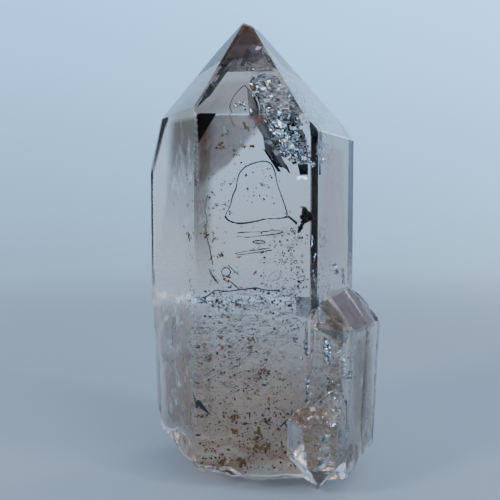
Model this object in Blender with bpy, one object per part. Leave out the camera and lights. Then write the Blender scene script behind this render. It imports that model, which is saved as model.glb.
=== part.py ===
"""Smoky quartz scepter with smaller crystals grown on its lower right, as one solid.

Metres, +Z up. The main crystal's long axis is the world Z axis, its broad flat prism face looks
along -Y, and the origin lies on the small flat spot of the broken base that it rests on.
"""

import math

import bmesh
import bpy
from mathutils import Matrix, Vector, noise

MM = 0.001

# The six prism faces of quartz, as the bearing of each face's outward normal in degrees
FRONT = -90.0
RIGHT_FRONT = -30.0
RIGHT_REAR = 30.0
REAR = 90.0
LEFT_REAR = 150.0
LEFT_FRONT = 210.0

# Quartz pyramid faces lean 38.2 degrees from the long axis, and a steeper one occurs below them
PYRAMID_LEAN = 38.2
STEEP_LEAN = 29.3

# Main crystal: height to the chipped tip, and each prism face's distance from the long axis (mm)
HEIGHT = 70.1
HEAD_FACES = {
    FRONT: 13.4,
    RIGHT_FRONT: 15.5,
    RIGHT_REAR: 14.1,
    REAR: 10.0,
    LEFT_REAR: 14.8,
    LEFT_FRONT: 12.8,
}
# Where each pyramid face would meet the long axis (mm): they don't quite share one point
HEAD_PEAKS = {
    FRONT: 71.0,
    RIGHT_FRONT: 71.3,
    RIGHT_REAR: 71.9,
    REAR: 71.2,
    LEFT_REAR: 71.2,
    LEFT_FRONT: 71.2,
}
# The steep face that takes off the left rear corner below the tip
STEEP_PEAK = 73.6
# The chip on the tip slopes down to the right
TIP_CHIP_SLOPE = 23.0

# The head stands proud of the stem on three sides, above an under-face that leaves the prism at
# this height (mm). There the stem lies this far inside the head's face (mm), and leans in going
# down (degrees).
STEM_RECESSES = {
    RIGHT_REAR: (22.5, 0.9, 1.0),
    REAR: (26.0, 0.8, 1.2),
    LEFT_REAR: (25.4, 0.6, 4.6),
}
UNDERSIDE_LEAN = 42.0
RECESS_DEPTH = 6.0
RECESS_WIDTH = 40.0

# The stem's lower left corner is broken off along this slope
CORNER_BREAK_BEARING = 176.0
CORNER_BREAK_SLOPE = 17.0
CORNER_BREAK_START = (-15.2, 2.0, 10.6)
BREAK_REACH = 3.0

# Upward side crystal: its axis foot, its lean to the right, and its face distances (mm)
UP_FOOT = (12.7, -7.4)
UP_LEAN_RIGHT = 2.6
UP_FACES = {
    FRONT: 7.05,
    RIGHT_FRONT: 4.6,
    RIGHT_REAR: 7.1,
    REAR: 5.6,
    LEFT_REAR: 6.0,
    LEFT_FRONT: 6.8,
}
# Where its upper pyramid faces leave the prism (mm), and how far each leans in (degrees)
UP_PYRAMID = {
    FRONT: (23.6, 38.2),
    RIGHT_FRONT: (23.7, 45.5),
    RIGHT_REAR: (26.4, 40.0),
    REAR: (27.0, 38.2),
    LEFT_FRONT: (26.2, 38.2),
}

# A second growth on the upward crystal's right side stands a little proud of it
RIB_FOOT = (15.9, -4.2)
RIB_FACES = {
    FRONT: 5.1,
    RIGHT_FRONT: 3.6,
    RIGHT_REAR: 3.3,
    REAR: 4.4,
    LEFT_REAR: 4.0,
    LEFT_FRONT: 4.0,
}
RIB_PYRAMID = {
    FRONT: (23.0, 38.2),
    RIGHT_FRONT: (23.5, 45.5),
    RIGHT_REAR: (24.2, 40.0),
    REAR: (24.6, 38.2),
}

# Downward side crystal in front of the upward one: its faces, and both of its ends (mm)
DOWN_AXIS = (10.1, -14.2)
DOWN_FACES = {
    FRONT: 3.7,
    RIGHT_FRONT: 3.7,
    RIGHT_REAR: 4.2,
    REAR: 3.0,
    LEFT_REAR: 3.9,
    LEFT_FRONT: 3.4,
}
DOWN_PYRAMID = {
    FRONT: (4.9, 38.2),
    RIGHT_FRONT: (5.1, 38.2),
    RIGHT_REAR: (5.6, 38.2),
    REAR: (4.4, 38.2),
    LEFT_REAR: (5.2, 38.2),
    LEFT_FRONT: (5.3, 36.0),
}
DOWN_TIP = 0.35
DOWN_TOP_PYRAMID = {FRONT: (11.4, 36.0), RIGHT_FRONT: (13.2, 38.2), LEFT_FRONT: (10.6, 48.0)}

# Thin sliver crystal beside the upward one (mm)
SLIVER_AXIS = (9.75, -12.75)
SLIVER_FACES = {
    FRONT: 1.15,
    RIGHT_FRONT: 1.2,
    RIGHT_REAR: 1.2,
    REAR: 1.2,
    LEFT_REAR: 1.1,
    LEFT_FRONT: 1.15,
}
SLIVER_PYRAMID = {FRONT: (25.9, 38.2), RIGHT_FRONT: (27.5, 38.2), LEFT_FRONT: (25.3, 34.0)}
SLIVER_FOOT_PYRAMID = {FRONT: (20.6, 26.0), LEFT_FRONT: (20.0, 30.0)}
SLIVER_SPAN = (17.0, 31.0)

# Broken base: the flat spot it rests on, and the broken lip that rises around it (mm)
REST_CENTRE = (0.6, -2.0)
REST_HALF_SIZE = (8.6, 6.6)
REST_RAGGEDNESS = 0.16
LIP_WIDTH = 0.42
LIP_HEIGHT = 1.65
# Further rises of the lip: where each begins and ends along X, and its height
LIP_RISES = (
    (-0.3, -2.0, 1.2),
    (-6.0, -8.5, 0.8),
    (-9.0, -11.5, 0.8),
    (-12.0, -14.5, 0.7),
    (8.0, 12.0, 0.5),
    (15.6, 17.4, 1.4),
)
LIP_ROUGHNESS = 0.32
RIPPLE_CENTRE = (-19.0, -15.0)
RIPPLE_SPACING = 2.3
RIPPLE_HEIGHT = 0.07
BASE_CUTTER_SIZE = 52.0
BASE_CUTTER_CELLS = 42
BASE_CUTTER_DEPTH = 12.0


def clear_scene():
    for obj in list(bpy.data.objects):
        bpy.data.objects.remove(obj, do_unlink=True)


def new_collection(name):
    collection = bpy.data.collections.new(name)
    bpy.context.scene.collection.children.link(collection)
    return collection


def quartz_material():
    material = bpy.data.materials.new("smoky_quartz")
    material.use_nodes = True
    shader = material.node_tree.nodes["Principled BSDF"]
    shader.inputs["Base Color"].default_value = (0.86, 0.84, 0.87, 1.0)
    shader.inputs["Roughness"].default_value = 0.04
    shader.inputs["Metallic"].default_value = 0.0
    shader.inputs["IOR"].default_value = 1.544
    shader.inputs["Transmission Weight"].default_value = 1.0
    return material


def face_normal(bearing, lean=0.0):
    """Outward normal of a face: its bearing in plan, and how far it leans in as it rises."""
    around = math.radians(bearing)
    up = math.radians(lean)
    flat = math.cos(up)
    return Vector((flat * math.cos(around), flat * math.sin(around), math.sin(up)))


def cut_face(bm, normal, point):
    """Cuts a convex block by one crystal face and closes the cut."""
    cut = bmesh.ops.bisect_plane(
        bm,
        geom=bm.verts[:] + bm.edges[:] + bm.faces[:],
        dist=1e-9,
        plane_co=point,
        plane_no=normal,
        clear_outer=True,
    )
    rim = [item for item in cut["geom_cut"] if isinstance(item, bmesh.types.BMEdge)]
    if rim:
        bmesh.ops.contextual_create(bm, geom=rim)


def prism_block(faces, bottom, top, lean_down=None, lean_from=0.0):
    """A six-sided block around the Z axis with flat ends. A face may lean in going down."""
    lean_down = lean_down or {}
    bm = bmesh.new()
    width = 4 * max(faces.values())
    size = Matrix.Diagonal((width, width, top - bottom, 1))
    middle = Matrix.Translation((0, 0, (bottom + top) / 2))
    bmesh.ops.create_cube(bm, size=1.0, matrix=middle @ size)
    for bearing, distance in faces.items():
        point = face_normal(bearing) * distance + Vector((0, 0, lean_from))
        cut_face(bm, face_normal(bearing, -lean_down.get(bearing, 0.0)), point)
    return bm


def cut_peaks(bm, peaks, lean):
    """Cuts upper pyramid faces, each of which would meet the long axis at its own height."""
    for bearing, peak in peaks.items():
        cut_face(bm, face_normal(bearing, lean), Vector((0, 0, peak)))


def cut_pyramid(bm, faces, pyramid, upward=True):
    """Cuts pyramid faces that leave their prism faces at given heights with given leans."""
    for bearing, (height, lean) in pyramid.items():
        point = face_normal(bearing) * faces[bearing] + Vector((0, 0, height))
        cut_face(bm, face_normal(bearing, lean if upward else -lean), point)


def finish_object(bm, name, collection, material, place=None):
    """Makes an object in metres from a block in millimetres."""
    if place is not None:
        bmesh.ops.transform(bm, matrix=place, verts=bm.verts)
    bmesh.ops.scale(bm, vec=(MM, MM, MM), verts=bm.verts)
    bmesh.ops.recalc_face_normals(bm, faces=bm.faces)
    mesh = bpy.data.meshes.new(name)
    bm.to_mesh(mesh)
    bm.free()
    mesh.materials.append(material)
    obj = bpy.data.objects.new(name, mesh)
    collection.objects.link(obj)
    return obj


def main_crystal(collection, material):
    """The main crystal, which the other growths are joined to."""
    bm = prism_block(HEAD_FACES, -2.0, HEIGHT + 10.0)
    cut_peaks(bm, HEAD_PEAKS, PYRAMID_LEAN)
    cut_peaks(bm, {LEFT_REAR: STEEP_PEAK}, STEEP_LEAN)
    cut_face(bm, face_normal(0.0, 90.0 - TIP_CHIP_SLOPE), Vector((0, 0, HEIGHT)))
    return finish_object(bm, "quartz_crystal", collection, material)


def stem_recess(bearing, collection, material):
    """What is missing from one side of the stem, below the head's under-face."""
    ledge, inset, lean_down = STEM_RECESSES[bearing]
    distance = HEAD_FACES[bearing]
    bm = bmesh.new()
    size = Matrix.Diagonal((RECESS_DEPTH, RECESS_WIDTH, 2 * ledge, 1))
    turned = Matrix.Rotation(math.radians(bearing), 4, "Z")
    bmesh.ops.create_cube(bm, size=1.0, matrix=turned @ Matrix.Translation((distance, 0, 0)) @ size)
    head_edge = face_normal(bearing) * distance + Vector((0, 0, ledge))
    cut_face(bm, -face_normal(bearing, -UNDERSIDE_LEAN), head_edge)
    stem_face = face_normal(bearing) * (distance - inset) + Vector((0, 0, ledge))
    cut_face(bm, -face_normal(bearing, -lean_down), stem_face)
    return finish_object(bm, f"stem_recess_{bearing:.0f}", collection, material)


def corner_break(collection, material):
    """What has broken off the stem's lower left corner."""
    bm = bmesh.new()
    start = Vector(CORNER_BREAK_START)
    block = Matrix.Translation(start) @ Matrix.Scale(4 * BREAK_REACH, 4)
    bmesh.ops.create_cube(bm, size=1.0, matrix=block)
    cut_face(bm, -face_normal(CORNER_BREAK_BEARING, -CORNER_BREAK_SLOPE), start)
    cut_face(bm, Vector((0, 0, 1)), start + Vector((0, 0, BREAK_REACH)))
    return finish_object(bm, "corner_break", collection, material)


def leaning(foot):
    """Stands a side crystal on its foot, leaning a little to the right."""
    lean = Matrix.Rotation(math.radians(UP_LEAN_RIGHT), 4, "Y")
    return Matrix.Translation((foot[0], foot[1], 0)) @ lean


def upward_crystal(collection, material):
    bm = prism_block(UP_FACES, -2.0, 40.0)
    cut_pyramid(bm, UP_FACES, UP_PYRAMID)
    return finish_object(bm, "upward_crystal", collection, material, leaning(UP_FOOT))


def rib(collection, material):
    bm = prism_block(RIB_FACES, -2.0, 36.0)
    cut_pyramid(bm, RIB_FACES, RIB_PYRAMID)
    return finish_object(bm, "rib", collection, material, leaning(RIB_FOOT))


def downward_crystal(collection, material):
    bm = prism_block(DOWN_FACES, DOWN_TIP, 16.0)
    cut_pyramid(bm, DOWN_FACES, DOWN_PYRAMID, upward=False)
    cut_pyramid(bm, DOWN_FACES, DOWN_TOP_PYRAMID)
    place = Matrix.Translation((DOWN_AXIS[0], DOWN_AXIS[1], 0))
    return finish_object(bm, "downward_crystal", collection, material, place)


def sliver_crystal(collection, material):
    bm = prism_block(SLIVER_FACES, *SLIVER_SPAN)
    cut_pyramid(bm, SLIVER_FACES, SLIVER_PYRAMID)
    cut_pyramid(bm, SLIVER_FACES, SLIVER_FOOT_PYRAMID, upward=False)
    place = Matrix.Translation((SLIVER_AXIS[0], SLIVER_AXIS[1], 0))
    return finish_object(bm, "sliver_crystal", collection, material, place)


def smooth_step(value):
    held = min(max(value, 0.0), 1.0)
    return held * held * (3 - 2 * held)


def base_height(x, y):
    """Height of the broken underside at a place: flat in the middle, a rough lip around it."""
    away_x = (x - REST_CENTRE[0]) / REST_HALF_SIZE[0]
    away_y = (y - REST_CENTRE[1]) / REST_HALF_SIZE[1]
    ragged = REST_RAGGEDNESS * noise.noise(Vector((x / 4.0, y / 4.0, 3.1)))
    outward = math.hypot(away_x, away_y) - 1.0 + ragged
    if outward <= 0.0:
        return 0.0
    lip = LIP_HEIGHT
    for start, end, rise in LIP_RISES:
        lip += rise * smooth_step((x - start) / (end - start))
    rough = LIP_ROUGHNESS * noise.fractal(Vector((x / 3.5, y / 3.5, 7.7)), 1.0, 2.0, 3)
    from_ripples = math.hypot(x - RIPPLE_CENTRE[0], y - RIPPLE_CENTRE[1])
    ripple = RIPPLE_HEIGHT * math.sin(2 * math.pi * from_ripples / RIPPLE_SPACING)
    rise = smooth_step(outward / LIP_WIDTH)
    return max(0.0, rise * (lip + rough + ripple))


def base_cutter(collection, material):
    """The rough surface that the base broke along, with everything below it."""
    bm = bmesh.new()
    half = BASE_CUTTER_SIZE / 2
    bmesh.ops.create_grid(bm, x_segments=BASE_CUTTER_CELLS, y_segments=BASE_CUTTER_CELLS, size=half)
    for vert in bm.verts:
        vert.co.z = base_height(vert.co.x, vert.co.y)
    lower = bmesh.ops.extrude_face_region(bm, geom=bm.faces[:])
    moved = [item for item in lower["geom"] if isinstance(item, bmesh.types.BMVert)]
    for vert in moved:
        vert.co.z = -BASE_CUTTER_DEPTH
    return finish_object(bm, "broken_base", collection, material)


def join_or_cut(target, other, operation):
    """Adds a live Boolean to the crystal, and keeps its other shape out of the render."""
    step = target.modifiers.new(other.name, "BOOLEAN")
    step.operation = operation
    step.solver = "EXACT"
    step.object = other
    other.hide_render = True
    other.display_type = "WIRE"


def main():
    clear_scene()
    parts = new_collection("smoky_quartz_scepter")
    helpers = new_collection("growths_and_break")
    material = quartz_material()
    crystal = main_crystal(parts, material)
    for bearing in STEM_RECESSES:
        join_or_cut(crystal, stem_recess(bearing, helpers, material), "DIFFERENCE")
    join_or_cut(crystal, corner_break(helpers, material), "DIFFERENCE")
    for growth in (upward_crystal, rib, sliver_crystal):
        join_or_cut(crystal, growth(helpers, material), "UNION")
    join_or_cut(crystal, base_cutter(helpers, material), "DIFFERENCE")
    join_or_cut(crystal, downward_crystal(helpers, material), "UNION")


main()
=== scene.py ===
"""Dresses the smoky quartz scepter: the clear crystal, what grew inside it, and a plain studio.

Laid out as an add-on: every piece has its own operator, and main() runs them in order.
"""

import math
import random

import bmesh
import bpy
from bpy.props import FloatProperty, FloatVectorProperty, IntProperty, PointerProperty
from mathutils import Matrix, Vector, noise
from mathutils.bvhtree import BVHTree


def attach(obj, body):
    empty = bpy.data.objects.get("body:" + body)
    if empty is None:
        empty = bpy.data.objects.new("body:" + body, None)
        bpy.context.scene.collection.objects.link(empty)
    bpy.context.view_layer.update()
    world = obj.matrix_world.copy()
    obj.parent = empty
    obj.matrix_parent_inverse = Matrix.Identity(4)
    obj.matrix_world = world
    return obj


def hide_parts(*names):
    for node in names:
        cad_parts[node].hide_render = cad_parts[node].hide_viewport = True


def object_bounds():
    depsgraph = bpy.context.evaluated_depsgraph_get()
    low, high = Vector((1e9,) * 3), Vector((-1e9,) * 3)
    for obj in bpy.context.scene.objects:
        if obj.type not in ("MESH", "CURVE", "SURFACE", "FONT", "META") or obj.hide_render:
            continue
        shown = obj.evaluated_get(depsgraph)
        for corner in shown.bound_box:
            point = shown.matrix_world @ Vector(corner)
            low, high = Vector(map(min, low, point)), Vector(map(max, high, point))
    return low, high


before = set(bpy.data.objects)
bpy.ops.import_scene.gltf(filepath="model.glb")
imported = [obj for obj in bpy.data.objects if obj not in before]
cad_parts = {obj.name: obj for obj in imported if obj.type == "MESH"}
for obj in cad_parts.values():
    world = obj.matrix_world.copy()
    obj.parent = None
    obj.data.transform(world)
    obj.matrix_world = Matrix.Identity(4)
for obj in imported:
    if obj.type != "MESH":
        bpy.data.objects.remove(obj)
CAD_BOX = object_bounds()

bl_info = {
    "name": "Smoky Quartz Scepter",
    "version": (1, 0, 0),
    "blender": (4, 5, 0),
    "location": "3D View > Sidebar > Quartz",
    "description": "Builds a clear smoky quartz scepter with its inclusions on a pale studio floor",
    "category": "Add Mesh",
}

MM = 0.001
NODE = "quartz_crystal"
BODY = "root"
QUARTZ_IOR = 1.544

# The photograph's frame, and the camera that took it (mm and degrees)
FRAME_PX = 500
FOCAL_PX = 603
CAMERA_AT = (0.53, -98.45, 40.05)
CAMERA_PITCH = 3.46
SENSOR_WIDTH = 36.0

# The pale air's colour by the sine of its height, and how much of it each bearing lets through
SKY = (
    (-0.45, (0.25, 0.34, 0.46)),
    (-0.27, (0.29, 0.41, 0.57)),
    (-0.06, (0.41, 0.68, 0.98)),
    (0.12, (0.47, 0.92, 1.45)),
    (0.32, (0.55, 1.25, 2.15)),
    (0.60, (0.52, 0.95, 1.45)),
    (0.85, (0.40, 0.45, 0.50)),
)
CARDS = (
    (-172, 1.0), (-158, 0.04), (-84, 0.04), (-66, 1.0), (-54, 3.0), (-34, 3.0), (-22, 1.0),
    (-12, 1.0), (0, 0.04), (22, 0.04), (36, 1.1), (54, 1.15), (58, 1.2), (63, 1.65),
    (69, 1.65), (76, 1.0), (90, 1.1), (126, 0.8), (140, 0.04), (158, 0.04), (170, 1.0),
)
CARD_TINT = (1.06, 0.84, 0.78)
# How much brighter the air is by the sine of its height, for light through the crystal
OVERHEAD = (
    (-1.0, 0.9), (-0.36, 1.0), (-0.24, 1.4), (-0.10, 1.05), (0.05, 1.0),
    (0.62, 1.0), (0.78, 2.6), (0.93, 3.2), (0.985, 0.9), (1.0, 0.7),
)
# How bright the air behind the crystal is by bearing: it brightens to the right
AIR_BEHIND = ((-180, 0.9), (-60, 1.35), (60, 1.35), (72, 1.18), (90, 1.02), (108, 0.92), (120, 0.9))

# The floor's size, and the ring in which it thins out (m)
FLOOR_RADIUS = 0.9
FLOOR_FADE = (0.1, 0.5)

# The floor is this far under the rest spot, so that it isn't pressed into the quartz (m)
FLOOR_GAP = 0.00006

# Black cards on the floor: tone and height, then middle and size in metres, and turn in degrees
FLOOR_CARD_TONE = (0.008, 0.008, 0.01)
FLOOR_CARD_HEIGHT = 0.0008
FLOOR_CARDS = (
    ((0.056, -0.041), (0.056, 0.040), -42.0),
    ((-0.27, -0.115), (0.22, 0.10), 24.0),
)

# A grey card that only the side crystal's tip face mirrors: place and size in metres
MIRROR_CARD = ((0.197, 0.211, 0.121), (0.075, 0.055))
MIRROR_CARD_TONE = (0.36, 0.29, 0.28)
SIDE_CRYSTAL_AT = (0.016, -0.009, 0.026)

# Soft boxes: what they face and their colour, then name, place and size in metres, and watts
CRYSTAL_MIDDLE = (0.0, 0.0, 0.035)
LIGHT_COLOUR = (1.0, 0.98, 0.96)
LIGHTS = (
    ("front_left_box", (-0.36, -0.24, 0.26), 0.08, 0.5),
    ("front_right_box", (0.34, -0.20, 0.24), 0.06, 0.22),
    ("back_right_box", (0.266, 0.295, 0.26), 0.14, 0.2),
)

# Faces that the inside is seen through: bearing, lean, and a point on each (degrees and mm)
PYRAMID_LEAN = 38.2
FRONT_Y = -13.4
TIP_EDGE_PX = 113
FACES = {
    "front": (-90.0, 0.0, (0.0, -13.4, 0.0)),
    "tip": (-90.0, PYRAMID_LEAN, (0.0, 0.0, 71.0)),
    "right_tip": (-30.0, PYRAMID_LEAN, (0.0, 0.0, 71.3)),
    "left": (210.0, 0.0, (-11.08, -6.4, 0.0)),
    "right": (-30.0, 0.0, (13.42, -7.75, 0.0)),
    "side_front": (-90.0, 0.0, (13.0, -14.45, 0.0)),
    "side_right": (-30.0, 0.0, (16.7, -9.7, 0.0)),
    "down_front": (-90.0, 0.0, (10.1, -17.9, 0.0)),
}

# Rust-coloured clusters that stand out: pixel and half width in pixels, top to bottom
RUST_SPOTS = (
    ((228, 133), 2.2), ((222, 135), 1.6), ((222, 146), 3.0), ((244, 146), 2.6), ((251, 147), 2.2),
    ((237, 154), 2.6), ((213, 174), 2.2), ((224, 182), 2.0), ((218, 205), 2.0), ((226, 205), 2.0),
    ((231, 212), 2.2), ((205, 234), 3.4), ((213, 234), 2.2), ((215, 239), 2.8), ((221, 255), 3.8),
    ((239, 257), 2.0), ((207, 226), 1.6), ((212, 173), 1.4),
    ((214, 271), 1.7), ((227, 278), 3.2), ((211, 282), 1.8), ((217, 282), 2.0), ((256, 273), 2.2),
    ((257, 291), 2.0), ((236, 305), 2.6), ((228, 319), 3.2), ((273, 320), 2.2), ((204, 345), 3.0),
    ((222, 338), 2.4), ((222, 348), 3.0), ((232, 345), 3.6), ((211, 357), 3.4), ((253, 340), 3.6),
    ((249, 348), 3.6), ((296, 340), 2.8), ((262, 370), 4.0), ((253, 370), 2.0), ((248, 387), 2.2),
    ((258, 394), 2.6), ((248, 398), 2.4), ((268, 401), 3.2), ((279, 400), 2.4), ((209, 406), 3.0),
    ((234, 417), 4.4), ((224, 413), 2.2), ((268, 422), 3.0), ((283, 411), 2.4), ((234, 431), 4.0),
    ((260, 433), 5.2), ((252, 444), 4.4), ((259, 449), 5.0), ((267, 446), 4.4), ((280, 447), 3.2),
    ((207, 450), 2.6), ((214, 451), 2.4), ((223, 461), 4.6), ((246, 466), 4.6), ((240, 460), 3.2),
)
SIDE_RUST_SPOTS = (((322, 381), 2.4), ((316, 417), 2.0), ((326, 404), 2.2), ((320, 446), 1.8))
STAIN_SPOTS = (((357, 455), 2.6), ((359, 450), 1.8), ((355, 460), 1.6))
RUST_DEPTHS = (1.2, 12.0)
SIDE_RUST_DEPTHS = (1.0, 3.0)
STAIN_UNDER = 0.5
# Small clusters between them: lowest row, how far up they reach, columns, and half width in pixels
SMALL_RUST_FOOT = 470
SMALL_RUST_RISE = 260
SMALL_RUST_COLUMNS = (201, 298)
SMALL_RUST_WIDTHS = (0.5, 1.5)
# Above this row the grains lie in front of the brown film
UPPER_RUST_ROW = 165
UPPER_RUST_DEPTHS = (0.7, 1.0)
# Towards the foot everything lies nearer the front: from the first row to the last, to this share
FORWARD_ROWS = (330, 470)
FORWARD_SHARE = 0.12

# Fields of dark specks: middle, half width and half height in pixels, and how many
SPECK_FIELDS = (
    ((228, 170), (28, 36), 70),
    ((262, 190), (18, 26), 26),
    ((284, 262), (24, 30), 130),
    ((250, 314), (52, 24), 430),
    ((258, 296), (46, 10), 120),
    ((235, 360), (36, 26), 220),
    ((258, 400), (46, 30), 260),
    ((245, 440), (46, 28), 240),
)
SPECK_DEPTHS = (0.6, 16.0)
# The smallest speck, and how much larger the largest is (mm)
SPECK_SIZES = (0.09, 0.17)
SIDE_SPECK_FIELDS = (((330, 415), (16, 48), 60),)
SIDE_SPECK_DEPTHS = (0.0, 3.0)
SIDE_SPECK_SIZES = (0.08, 0.17)
SIDE_SPECK_MARGIN = 0.25

# Etch pits at the right tip face: its left and right rims (pixels), how many, their size (mm), their
# three half widths as shares of it, and how far under the face they lie (mm)
PIT_LEFT = ((259.5, 40), (287, 82), (315, 124))
PIT_RIGHT = ((262.5, 40), (296.5, 82), (332.5, 124))
PIT_COUNT = 280
PIT_SIZES = (0.07, 0.17)
PIT_SHAPE = (1.9, 1.0, 0.45)
PIT_UNDER = 0.2

# Outlines of fluid inclusions and hair cracks, as pixels along each line
BELL = (
    (241, 171), (246, 166), (257, 162), (265, 161), (271, 163), (275, 171), (277, 184), (282, 197),
    (286, 209), (288, 217), (276, 219), (267, 218.5), (257, 221), (244, 223.5), (234, 223), (227, 220),
    (225, 216), (228, 210), (231, 204), (232.5, 195), (236.5, 188), (237, 181), (239, 174),
)
BELL_DEPTH = 4.0
BELL_FOOT_ROW = 215.5
ARCH_DEPTH = 5.0
ARCH_LEFT = ((243, 86), (236, 93), (231, 101), (229.5, 109), (230.5, 117), (232.5, 123), (235, 127))
ARCH_RIGHT = ((244, 85), (250, 90), (256, 99), (259, 109), (257, 120), (254, 129))
OPEN_LINES = (
    ((237, 233), (244, 232), (257, 232), (269, 231.5), (272, 229.5), (276, 231), (283, 231)),
    ((237, 236.5), (247, 238), (260, 235.5), (276, 234.5), (283, 232)),
    ((235, 253.5), (247, 251), (260, 249.5), (270, 248)),
    ((236, 255), (244, 254.5), (255, 252.5), (272, 250)),
    ((208, 195), (204, 206), (206.5, 217), (207.5, 224), (202.5, 226), (205.5, 228)),
    ((205.5, 228), (206.5, 237), (209.5, 246), (211, 256), (213, 265)),
    ((209.5, 269), (210.5, 275), (214.5, 279), (218.5, 284)),
    ((228, 265), (233, 270), (239, 275)),
    ((228, 280), (234, 284), (240, 290)),
)
RAGGED_LINES = (
    (
        (202, 300), (210, 294), (216, 289.5), (226, 292), (236, 290), (247, 289), (258, 287.5),
        (266, 291), (280, 290),
    ),
    ((216, 299), (220, 303), (224, 306.5)),
    ((293, 410), (291.5, 415.5), (286, 421), (280, 427)),
    ((284.5, 422), (288, 428), (290, 436), (290, 446), (291.5, 457), (296, 468)),
)
LINE_DEPTH = 3.0
LINE_WANDER = 0.2
# Radii of the threads that draw them (mm), painted dark as shade, and how uneven a thread is
RIM_RADIUS = 0.085
BELL_FOOT_RADIUS = 0.13
LINE_RADIUS = 0.07
RAGGED_RADIUS = 0.095
DROPLET_RADIUS = 0.045
THREAD_SPREAD = (0.7, 1.35)

# Short hair cracks, dark and pale: middle and half size of each field in pixels, and how many
DARK_STROKES = (
    ((252, 300), (50, 8), 34),
    ((258, 332), (40, 26), 70),
    ((240, 375), (34, 20), 26),
    ((288, 285), (18, 14), 14),
)
PALE_STROKES = (
    ((250, 318), (46, 20), 60),
    ((262, 350), (34, 22), 36),
    ((306, 370), (6, 60), 18),
)
STROKE_SLANT = (2.2, 8.0)
STROKE_DEPTHS = (1.4, 3.4)
DARK_STROKE_RADIUS = 0.042
PALE_STROKE_RADIUS = 0.06
# Small round droplets: middle and half size of each field in pixels, how many, and their half widths
DROPLETS = (
    ((291, 243), (12, 20), 22),
    ((262, 186), (8, 6), 4),
    ((216, 200), (9, 16), 7),
    ((290, 264), (14, 10), 8),
)
DROPLET_SIZES = (0.8, 1.7)
PIXEL_MM = 0.147
FRONT_LEFT_PX = 198
FRONT_RIGHT_PX = 308
# The black inclusion by the right edge: a pixel and a size (mm) for each of its lumps
BLACK_INCLUSION = (
    ((301, 207), 0.16), ((303, 207.5), 0.2), ((305, 210), 0.26), ((306, 213), 0.5), ((306, 216.5), 0.85),
    ((309, 215), 0.6), ((304.5, 219), 0.8), ((309, 217), 0.5), ((312, 218), 0.3), ((302.5, 223), 0.4),
    ((301, 226), 0.35), ((300.5, 228), 0.36), ((299.5, 230), 0.3), ((298.5, 232), 0.24),
)
BLACK_INCLUSION_DEPTH = 1.4
# Small tubes and a bubble: middle and half size in pixels
SMALL_TUBE = ((259, 242), (6.2, 1.5))
RING = ((226, 272), (4.6, 4.4))
BAND_TUBE = ((312.5, 243), (2.2, 5.6))
BAND_TUBE_DEPTH = 1.0
# The thick thread at the bell's right foot, and its two radii (mm)
TUBE_END = ((288, 216), (297, 223.5))
TUBE_END_RADII = (0.16, 0.2)

# The silvery fracture: its left and right rims from top to bottom (pixels), and its depths (mm)
VEIL_LEFT = (
    (252, 76), (249, 86), (256, 96), (260, 106), (261.5, 121), (268, 134), (274, 145), (282, 157),
    (293, 163.5),
)
VEIL_RIGHT = (
    (268, 73), (280, 78), (289, 96), (296, 108), (300, 119), (304, 132), (308, 145), (311, 156),
    (313, 163.5),
)
VEIL_DEPTHS = (6.0, 2.0)
# How much deeper its right rim lies, how far it wanders, and how far it is creased (mm)
VEIL_SLOPE = 2.5
VEIL_WANDER = 1.1
VEIL_CREASE = 0.24
# Thin cracks whose dark is painted shade: how much deeper each next corner lies and their thickness (mm),
# then their corners (pixels) and depth behind the front face (mm)
BLADE_SLOPE = 0.25
BLADE_THICKNESS = 0.08
BLADES = (
    (((265, 142), (270, 147), (283, 168), (276, 166)), 4.0),
    (((263, 149), (267, 151), (281, 171), (278, 172)), 5.0),
    (((283, 163), (287, 165), (291, 174), (288, 172)), 4.5),
    (((297.5, 164), (308, 164), (308, 175), (300, 175)), 4.0),
    (((190, 392), (198, 398), (212, 416.5), (200, 408)), 1.2),
    (((209, 268), (213, 275), (219, 284), (214, 280)), 2.5),
    (((253, 96), (256, 99), (259, 112.5), (256, 108)), 5.0),
    (((242.5, 122), (245, 122), (247, 129), (245, 130)), 3.0),
    (((247, 126), (248.5, 126), (249.5, 131), (248, 131)), 3.0),
)
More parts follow.
